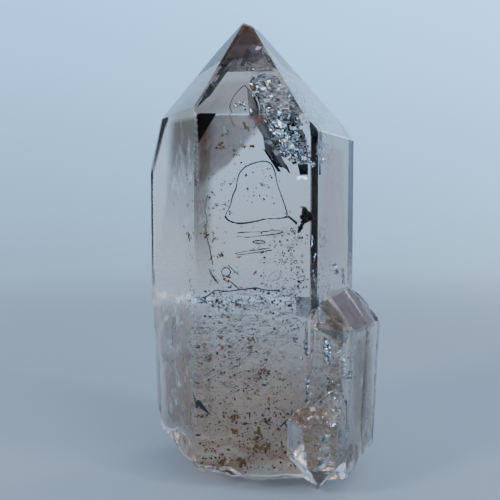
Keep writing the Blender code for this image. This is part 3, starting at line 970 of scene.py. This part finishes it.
def lump_cluster(bm, tree, middle, pixels, rng):
    """A loose heap of grains inside the crystal, this wide from its middle in the photograph."""
    width = pixels * PIXEL_MM
    for _grain in range(4 + int(width * 14)):
        offset = Vector((rng.gauss(0, 0.55), rng.gauss(0, 0.4), rng.gauss(0, 0.55))) * width
        size = rng.uniform(0.2, 0.6) * width
        lump(bm, kept_inside(tree, middle + offset, 1.3 * size), size, rng)


def sown_pixels(fields, rng):
    """Pixels sown in fields of the photograph, each given by its middle, half size and count."""
    for middle, half, count in fields:
        for _pixel in range(count):
            yield (middle[0] + half[0] * rng.uniform(-1, 1), middle[1] + half[1] * rng.uniform(-1, 1))


def add_tubes(bm, paths, closed=False):
    """Round threads through places (mm), each with its own radius, added to the mesh."""
    data = bpy.data.curves.new("threads", "CURVE")
    data.dimensions = "3D"
    data.bevel_depth = 1.0
    data.bevel_resolution = 1
    data.resolution_u = 5
    data.use_fill_caps = True
    for places, radii in paths:
        spline = data.splines.new("NURBS")
        spline.points.add(len(places) - 1)
        spline.order_u = 3
        spline.use_cyclic_u = closed
        spline.use_endpoint_u = not closed
        for point, place, radius in zip(spline.points, places, radii):
            point.co = (*place, 1.0)
            point.radius = radius
    thread = bpy.data.objects.new("threads", data)
    bpy.context.scene.collection.objects.link(thread)
    graph = bpy.context.evaluated_depsgraph_get()
    mesh = bpy.data.meshes.new_from_object(thread.evaluated_get(graph))
    first = len(bm.verts)
    bm.from_mesh(mesh)
    bm.verts.ensure_lookup_table()
    bmesh.ops.remove_doubles(bm, verts=bm.verts[first:], dist=0.002)
    bpy.data.objects.remove(thread)
    bpy.data.curves.remove(data)
    bpy.data.meshes.remove(mesh)


def add_threads(bm, lines, radius, rng, closed=False):
    """Threads of about this radius (mm), thicker and thinner along their way."""
    uneven = [(places, [radius * rng.uniform(*THREAD_SPREAD) for _place in places]) for places in lines]
    add_tubes(bm, uneven, closed)


def line_inside(line, depth):
    return [seen_inside(pixel, depth) for pixel in line]


def add_strokes(bm, fields, radius, rng):
    """Short slanting hair cracks sown in fields of the photograph, just inside the front face."""
    strokes = []
    for x, y in sown_pixels(fields, rng):
        reach = rng.uniform(*STROKE_SLANT) / 2
        rise = reach * rng.uniform(-0.4, 1.0)
        bow = rng.uniform(-1.2, 1.2)
        depth = rng.uniform(*STROKE_DEPTHS)
        line = ((x - reach, y + rise), (x, y + bow), (x + reach, y - rise))
        strokes.append([seen_inside(pixel, depth, "front") for pixel in line])
    add_threads(bm, strokes, radius, rng)


def oval(middle, half, depth, count=14):
    """Places round an oval of the photograph, inside the front face."""
    turns = [2 * math.pi * step / count for step in range(count)]
    pixels = [(middle[0] + half[0] * math.cos(t), middle[1] + half[1] * math.sin(t)) for t in turns]
    return line_inside(pixels, depth)


def along(rim, part):
    """The pixel at a part (0 to 1) of the way down a rim."""
    step = part * (len(rim) - 1)
    index = min(int(step), len(rim) - 2)
    return Vector(rim[index]).lerp(Vector(rim[index + 1]), step - index)


def between(left, right, across, down):
    """The pixel between two rims, at parts (0 to 1) of the way across and down."""
    return along(left, down).lerp(along(right, down), across)


def shaped_grid(bm, columns, rows, place_of):
    """A grid whose points are put where place_of(u, v) says, u and v from 0 to 1."""
    made = bmesh.ops.create_grid(bm, x_segments=columns, y_segments=rows, size=0.5)
    for vert in made["verts"]:
        vert.co = place_of(vert.co.x + 0.5, vert.co.y + 0.5)
    return made["verts"]


def crumpled_sheet(bm, columns, rows, place_of, rng, crumple):
    """A thin closed sheet with ragged holes, creased this far in and out (mm), added to the mesh."""
    sheet = bmesh.new()
    shaped_grid(sheet, columns, rows, place_of)
    sheet.normal_update()
    for vert in sheet.verts:
        vert.co += vert.normal * rng.uniform(-crumple, crumple)
    ragged = [face for face in sheet.faces if rng.random() < 0.06]
    bmesh.ops.delete(sheet, geom=ragged, context="FACES")
    bmesh.ops.solidify(sheet, geom=sheet.faces[:], thickness=0.03)
    mesh = bpy.data.meshes.new("sheet")
    sheet.to_mesh(mesh)
    sheet.free()
    bm.from_mesh(mesh)
    bpy.data.meshes.remove(mesh)


def hazy_sheet(corners, place_of, wave, seed, rim):
    """A wavy film between four pixels whose cover fades out towards its rim."""
    bm = bmesh.new()
    top_left, top_right, low_right, low_left = [Vector(corner) for corner in corners]
    layer = bm.verts.layers.float.new("cover")
    made = bmesh.ops.create_grid(bm, x_segments=36, y_segments=30, size=0.5)
    for vert in made["verts"]:
        across, down = vert.co.x + 0.5, 0.5 - vert.co.y
        edges = zip((across, 1 - across, down, 1 - down), rim)
        vert[layer] = min(ease(away, 0.0, width) for away, width in edges)
        pixel = top_left.lerp(top_right, across).lerp(low_left.lerp(low_right, across), down)
        vert.co = place_of(pixel, down, wave * noise.noise(Vector((across * 3, down * 3, seed))))
    return bm


def hang_film(name, place_at, wave, seed, scale, film):
    """One film from its row of values, each point put where place_at(pixel, depth) says."""
    corners, (top, foot), colour, cover, streak, bare, *rim = film

    def place_of(pixel, down, bulge):
        return place_at(pixel, top + (foot - top) * down + bulge)

    bm = hazy_sheet(corners, place_of, wave, seed, rim[0] if rim else SOFT_RIM)
    finish_piece(name, bm, veil_material(name, colour, cover, scale, streak, bare), sharp_angle=60)


def glint(bm, left, right, face, under, grid, crumple, rng):
    """A small metal-bright crack between two rims, turned a little towards the right."""

    def place_of(across, down):
        pixel = between(left, right, across, down)
        turned = GLINT_TURN * PIXEL_MM * (pixel.x - left[0][0])
        return seen_inside(pixel, 0.0, face, under + turned)

    crumpled_sheet(bm, *grid, place_of, rng, crumple)


class QuartzSettings(bpy.types.PropertyGroup):
    """What a user would change on the crystal and its studio."""

    smoke_colour: FloatVectorProperty(
        name="Smoke Colour",
        description="Colour of the light that a long way through the quartz lets pass",
        subtype="COLOR",
        size=3,
        min=0.0,
        max=1.0,
        default=(0.71, 0.49, 0.33),
    )
    smoke_density: FloatProperty(
        name="Smoke Density",
        description="How strongly the quartz takes up light, per metre",
        min=0.0,
        default=16.0,
    )
    zone_colour: FloatVectorProperty(
        name="Smoky Zone Colour",
        description="What the smokiest zones let through at each surface",
        subtype="COLOR",
        size=3,
        min=0.0,
        max=1.0,
        default=(0.34, 0.20, 0.10),
    )
    small_rust_count: IntProperty(
        name="Small Rust Spots",
        description="How many small clusters of iron oxide are sown between the large ones",
        min=0,
        default=260,
    )
    floor_colour: FloatVectorProperty(
        name="Floor Colour",
        description="Colour of the studio floor",
        subtype="COLOR",
        size=3,
        min=0.0,
        max=1.0,
        default=(0.60, 0.66, 0.72),
    )
    fill_colour: FloatVectorProperty(
        name="Fill Colour",
        description="Colour and strength of the soft light from all round",
        subtype="COLOR",
        size=3,
        min=0.0,
        default=(0.20, 0.32, 0.47),
    )


class QUARTZ_OT_crystal(bpy.types.Operator):
    """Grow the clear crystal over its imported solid"""

    bl_idname = "quartz.crystal"
    bl_label = "Crystal"

    def execute(self, context):
        bm = crystal_copy()
        soften_growth_edges(bm)
        refine(bm, FINEST_EDGE)
        weather(bm)
        quartz = smoky_quartz_material(context.scene.quartz)
        crystal = finish_piece("smoky_quartz_crystal", bm, quartz, sharp_angle=22)
        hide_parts(NODE)
        return {"FINISHED"}


class QUARTZ_OT_rust(bpy.types.Operator):
    """Sow the ochre and rust coloured iron oxide grains"""

    bl_idname = "quartz.rust"
    bl_label = "Iron Oxide Grains"

    def execute(self, context):
        rng = random.Random(11)
        bm = bmesh.new()
        tree = crystal_tree()
        for pixel, width in RUST_SPOTS:
            depths = UPPER_RUST_DEPTHS if pixel[1] < UPPER_RUST_ROW else RUST_DEPTHS
            middle = seen_inside(pixel, sown_depth(pixel, depths, rng))
            lump_cluster(bm, tree, middle, width, rng)
        for pixel, width in SIDE_RUST_SPOTS:
            middle = seen_inside(pixel, rng.uniform(*SIDE_RUST_DEPTHS), "down_front")
            lump_cluster(bm, tree, middle, width, rng)
        for pixel, width in STAIN_SPOTS:
            lump_cluster(bm, tree, seen_inside(pixel, 0.0, "side_right", STAIN_UNDER), width, rng)
        for _spot in range(context.scene.quartz.small_rust_count):
            row = SMALL_RUST_FOOT - SMALL_RUST_RISE * rng.random() ** 1.6
            pixel = (rng.uniform(*SMALL_RUST_COLUMNS), row)
            middle = seen_inside(pixel, sown_depth(pixel, RUST_DEPTHS, rng))
            lump_cluster(bm, tree, middle, rng.uniform(*SMALL_RUST_WIDTHS), rng)
        rust = grain_material("iron_oxide", (0.16, 0.065, 0.012), (0.66, 0.37, 0.06), 3.0, (0.5, 0.9))
        finish_piece("iron_oxide_grains", bm, rust)
        return {"FINISHED"}


class QUARTZ_OT_specks(bpy.types.Operator):
    """Sow the dark specks and the black inclusion by the right edge"""

    bl_idname = "quartz.specks"
    bl_label = "Dark Specks"

    def execute(self, context):
        rng = random.Random(23)
        bm = bmesh.new()
        tree = crystal_tree()
        for pixel in sown_pixels(SPECK_FIELDS, rng):
            if not FRONT_LEFT_PX < pixel[0] < FRONT_RIGHT_PX:
                continue
            size = SPECK_SIZES[0] + SPECK_SIZES[1] * rng.random() ** 2
            place = seen_inside(pixel, sown_depth(pixel, SPECK_DEPTHS, rng))
            lump(bm, kept_inside(tree, place, 1.3 * size), size, rng)
        for pixel in sown_pixels(SIDE_SPECK_FIELDS, rng):
            place = seen_inside(pixel, rng.uniform(*SIDE_SPECK_DEPTHS), "side_front")
            place = kept_inside(tree, place, SIDE_SPECK_MARGIN)
            lump(bm, place, rng.uniform(*SIDE_SPECK_SIZES), rng)
        for pixel, size in BLACK_INCLUSION:
            for _part in range(4):
                offset = Vector((rng.gauss(0, 0.2), rng.gauss(0, 0.5), rng.gauss(0, 0.2))) * size
                lump(bm, seen_inside(pixel, BLACK_INCLUSION_DEPTH) + offset, size, rng)
        dark = grain_material("dark_specks", (0.003, 0.003, 0.003), (0.045, 0.03, 0.016), 2.0, (0.35, 0.7))
        finish_piece("dark_specks", bm, dark)
        return {"FINISHED"}


class QUARTZ_OT_pits(bpy.types.Operator):
    """Mark the right tip face with fine dashes, the etch pits of its growth"""

    bl_idname = "quartz.pits"
    bl_label = "Etch Pits"

    def execute(self, context):
        rng = random.Random(31)
        bm = bmesh.new()
        tree = crystal_tree()
        bearing, lean, _point = FACES["right_tip"]
        normal = face_normal(bearing, lean)
        downhill = face_normal(bearing, lean - 90.0)
        turn = Matrix((downhill, normal.cross(downhill), normal)).transposed().to_4x4()
        for _pit in range(PIT_COUNT):
            down = rng.random() ** 0.6
            pixel = between(PIT_LEFT, PIT_RIGHT, rng.random(), down)
            place = Matrix.Translation(under_surface(tree, pixel, PIT_UNDER))
            size = rng.uniform(*PIT_SIZES)
            shape = Matrix.Diagonal((*[size * part for part in PIT_SHAPE], 1.0))
            bmesh.ops.create_icosphere(bm, subdivisions=1, radius=1.0, matrix=place @ turn @ shape)
        grey = grain_material("tip_pits", (0.02, 0.02, 0.022), (0.12, 0.11, 0.12), 1.5, (0.4, 0.8))
        finish_piece("tip_pits", bm, grey)
        return {"FINISHED"}


class QUARTZ_OT_fluid(bpy.types.Operator):
    """Draw the rims of the bell, the arch and the tubes that fluid fills, and the hair cracks; the rims'
    dark is painted shade
    """

    bl_idname = "quartz.fluid"
    bl_label = "Fluid Inclusions"

    def execute(self, context):
        rng = random.Random(5)
        bm = bmesh.new()
        rims = [
            line_inside(BELL, BELL_DEPTH),
            oval(*SMALL_TUBE, LINE_DEPTH),
            oval(*RING, LINE_DEPTH),
            oval(*BAND_TUBE, BAND_TUBE_DEPTH),
        ]
        add_threads(bm, rims, RIM_RADIUS, rng, closed=True)
        foot = [pixel for pixel in BELL if pixel[1] > BELL_FOOT_ROW]
        add_threads(bm, [line_inside(foot, BELL_DEPTH)], BELL_FOOT_RADIUS, rng)
        lines = [line_inside(line, ARCH_DEPTH) for line in (ARCH_LEFT, ARCH_RIGHT)]
        lines += [line_inside(line, LINE_DEPTH) for line in OPEN_LINES]
        add_threads(bm, lines, LINE_RADIUS, rng)
        ragged = [
            [seen_inside(pixel, LINE_DEPTH + rng.uniform(-LINE_WANDER, LINE_WANDER)) for pixel in line]
            for line in RAGGED_LINES
        ]
        add_threads(bm, ragged, RAGGED_RADIUS, rng)
        add_tubes(bm, [(line_inside(TUBE_END, BELL_DEPTH), TUBE_END_RADII)])
        droplets = []
        for pixel in sown_pixels(DROPLETS, rng):
            size = rng.uniform(*DROPLET_SIZES)
            droplets.append(oval(pixel, (size, size * rng.uniform(0.7, 1.1)), LINE_DEPTH, 6))
        add_threads(bm, droplets, DROPLET_RADIUS, rng, closed=True)
        add_strokes(bm, DARK_STROKES, DARK_STROKE_RADIUS, rng)
        # Painted shade: the rims and the dark hair cracks are painted near black
        rim = grain_material("painted_shade_rims", (0.012, 0.012, 0.014), (0.05, 0.05, 0.055), 2.0, (0.15, 0.4))
        finish_piece("fluid_inclusions", bm, rim, sharp_angle=60)
        bm = bmesh.new()
        add_strokes(bm, PALE_STROKES, PALE_STROKE_RADIUS, rng)
        pale = grain_material("pale_strokes", (0.80, 0.76, 0.74), (0.98, 0.97, 0.96), 2.0, (0.1, 0.4))
        finish_piece("pale_strokes", bm, pale, sharp_angle=60)
        return {"FINISHED"}


class QUARTZ_OT_fracture(bpy.types.Operator):
    """Crumple the silvery fracture under the tip, set beside it the dark blades, whose dark is painted
    shade, and lay the films of painted shade and light
    """

    bl_idname = "quartz.fracture"
    bl_label = "Silvery Fracture"

    def execute(self, context):
        rng = random.Random(8)

        def veil_place(across, down):
            wander = VEIL_WANDER * noise.noise(Vector((across * 5, down * 14, 1.0)))
            slope = VEIL_SLOPE * across
            depth = VEIL_DEPTHS[0] + (VEIL_DEPTHS[1] - VEIL_DEPTHS[0]) * down + slope + wander
            return seen_inside(between(VEIL_LEFT, VEIL_RIGHT, across, down), depth)

        silver = silver_veil_material()
        bm = bmesh.new()
        crumpled_sheet(bm, 12, 42, veil_place, rng, VEIL_CREASE)
        finish_piece("silvery_fracture", bm, silver)
        bm = bmesh.new()
        for left, right, face, under in GLINTS:
            glint(bm, left, right, face, under, (4, 9), GLINT_CREASE, rng)
        glint(bm, *WHITE_BAR, "front", WHITE_BAR_UNDER, (3, 2), WHITE_BAR_CREASE, rng)

        def spark_place(across, down):
            return seen_inside(between(*LEFT_SPARK, across, down), LEFT_SPARK_DEPTH, "left")

        crumpled_sheet(bm, 4, 4, spark_place, rng, SPARK_CREASE)
        tree = crystal_tree()
        for pixel in sown_pixels(GLINT_FIELDS, rng):
            middle = Vector(pixel)
            size = Vector((rng.uniform(*SMALL_GLINT_WIDTHS), rng.uniform(*SMALL_GLINT_HEIGHTS)))
            slant = rng.uniform(-SMALL_GLINT_SLANT, SMALL_GLINT_SLANT)
            under = rng.uniform(*SMALL_GLINT_UNDER)

            def scattered_place(across, down):
                shift = Vector(((across - 0.5) * size.x + (down - 0.5) * slant, (down - 0.5) * size.y))
                return under_surface(tree, middle + shift, under + GLINT_TURN * PIXEL_MM * shift.x)

            crumpled_sheet(bm, 2, 4, scattered_place, rng, SMALL_GLINT_CREASE)
        finish_piece("glinting_cracks", bm, silver)
        blades = bmesh.new()
        for corners, depth in BLADES:
            places = [
                kept_inside(tree, seen_inside(pixel, depth + BLADE_SLOPE * index), FILM_MARGIN)
                for index, pixel in enumerate(corners)
            ]
            blades.faces.new([blades.verts.new(place) for place in places])
        bmesh.ops.solidify(blades, geom=blades.faces[:], thickness=BLADE_THICKNESS)
        # The blades are painted near black: painted shade
        dark = grain_material("painted_shade_blades", (0.02, 0.02, 0.024), (0.12, 0.12, 0.13), 1.2, (0.1, 0.35))
        finish_piece("painted_shade_blades", blades, dark)
        # Films painted grey, dark or white: painted shade and painted light
        shards = bmesh.new()
        tone_layer = shards.verts.layers.float_color.new("tone")
        for corners, under, tone, cover in PAINTED_SHADE_SHARDS:
            made = [shards.verts.new(under_surface(tree, pixel, under)) for pixel in corners]
            for vert in made:
                vert[tone_layer] = (*tone, cover)
            bmesh.ops.contextual_create(shards, geom=made)
        finish_piece("painted_shade_shards", shards, painted_shade_material())
        return {"FINISHED"}


class QUARTZ_OT_veils(bpy.types.Operator):
    """Hang the healed fracture veils in the lower half, and the hazy films, some of them painted shade and
    painted reflection
    """

    bl_idname = "quartz.veils"
    bl_label = "Healed Veils"

    def execute(self, context):
        tree = crystal_tree()

        def behind_front(pixel, depth):
            return kept_inside(tree, seen_inside(pixel, depth, "front"), FILM_MARGIN)

        def under_faces(pixel, depth):
            return under_surface(tree, pixel, depth)

        for index, film in enumerate(HEALED_VEILS, 1):
            top, foot = film[1]
            bulge = VEIL_BULGE if foot > top else FOOT_FILM_BULGE
            hang_film(f"healed_veil_{index}", behind_front, bulge, index * 3.3, VEIL_CLOUDS, film)
        for index, film in enumerate(HAZE_AND_PAINTED_LIGHT_FILMS, 1):
            hang_film(f"haze_and_painted_light_{index}", under_faces, HAZE_BULGE, index * 7.1, HAZE_CLOUDS, film)
        return {"FINISHED"}


class QUARTZ_OT_studio(bpy.types.Operator):
    """Set the pale floor, the soft light and the photograph's camera"""

    bl_idname = "quartz.studio"
    bl_label = "Studio"

    def execute(self, context):
        settings = context.scene.quartz
        bm = bmesh.new()
        low = Matrix.Translation((0.0, 0.0, -FLOOR_GAP))
        bmesh.ops.create_circle(bm, cap_ends=True, segments=96, radius=FLOOR_RADIUS, matrix=low)
        new_object("floor", bm, floor_material(settings))
        context.scene.world = studio_world(settings)
        places = [
            Matrix.Translation((*middle, FLOOR_CARD_HEIGHT))
            @ Matrix.Rotation(math.radians(turn), 4, "Z")
            @ Matrix.Diagonal((*size, 1.0, 1.0))
            for middle, size, turn in FLOOR_CARDS
        ]
        dark_cards("dark_cards", places, FLOOR_CARD_TONE).visible_glossy = False
        middle, size = MIRROR_CARD
        toward = Vector(SIDE_CRYSTAL_AT) - Vector(middle)
        facing = toward.to_track_quat("Z", "Y").to_matrix().to_4x4()
        places = [Matrix.Translation(middle) @ facing @ Matrix.Diagonal((*size, 1.0, 1.0))]
        dark_cards("mirror_card", places, MIRROR_CARD_TONE).visible_transmission = False
        for name, place, size, power in LIGHTS:
            soft_light(name, place, size, power)
        camera_data = bpy.data.cameras.new("photograph_camera")
        camera_data.sensor_width = SENSOR_WIDTH
        camera_data.lens = FOCAL_PX / FRAME_PX * SENSOR_WIDTH
        camera_data.clip_start = 0.005
        camera = bpy.data.objects.new("photograph_camera", camera_data)
        camera.location = Vector(CAMERA_AT) * MM
        camera.rotation_euler = (math.radians(90 - CAMERA_PITCH), 0, 0)
        context.scene.collection.objects.link(camera)
        context.scene.camera = camera
        return {"FINISHED"}


class QUARTZ_PT_panel(bpy.types.Panel):
    """The crystal's settings and its pieces, in the order they are made"""

    bl_idname = "QUARTZ_PT_panel"
    bl_label = "Smoky Quartz Scepter"
    bl_space_type = "VIEW_3D"
    bl_region_type = "UI"
    bl_category = "Quartz"

    def draw(self, context):
        layout = self.layout
        for name in QuartzSettings.__annotations__:
            layout.prop(context.scene.quartz, name)
        for operator in OPERATORS:
            layout.operator(operator.bl_idname)


OPERATORS = (
    QUARTZ_OT_crystal,
    QUARTZ_OT_rust,
    QUARTZ_OT_specks,
    QUARTZ_OT_pits,
    QUARTZ_OT_fluid,
    QUARTZ_OT_fracture,
    QUARTZ_OT_veils,
    QUARTZ_OT_studio,
)


def register():
    bpy.utils.register_class(QuartzSettings)
    for operator in OPERATORS:
        bpy.utils.register_class(operator)
    bpy.utils.register_class(QUARTZ_PT_panel)
    bpy.types.Scene.quartz = PointerProperty(type=QuartzSettings)


def unregister():
    del bpy.types.Scene.quartz
    bpy.utils.unregister_class(QUARTZ_PT_panel)
    for operator in reversed(OPERATORS):
        bpy.utils.unregister_class(operator)
    bpy.utils.unregister_class(QuartzSettings)


def main():
    register()
    bpy.ops.quartz.crystal()
    bpy.ops.quartz.rust()
    bpy.ops.quartz.specks()
    bpy.ops.quartz.pits()
    bpy.ops.quartz.fluid()
    bpy.ops.quartz.fracture()
    bpy.ops.quartz.veils()
    bpy.ops.quartz.studio()


if __name__ == "__main__":
    main()
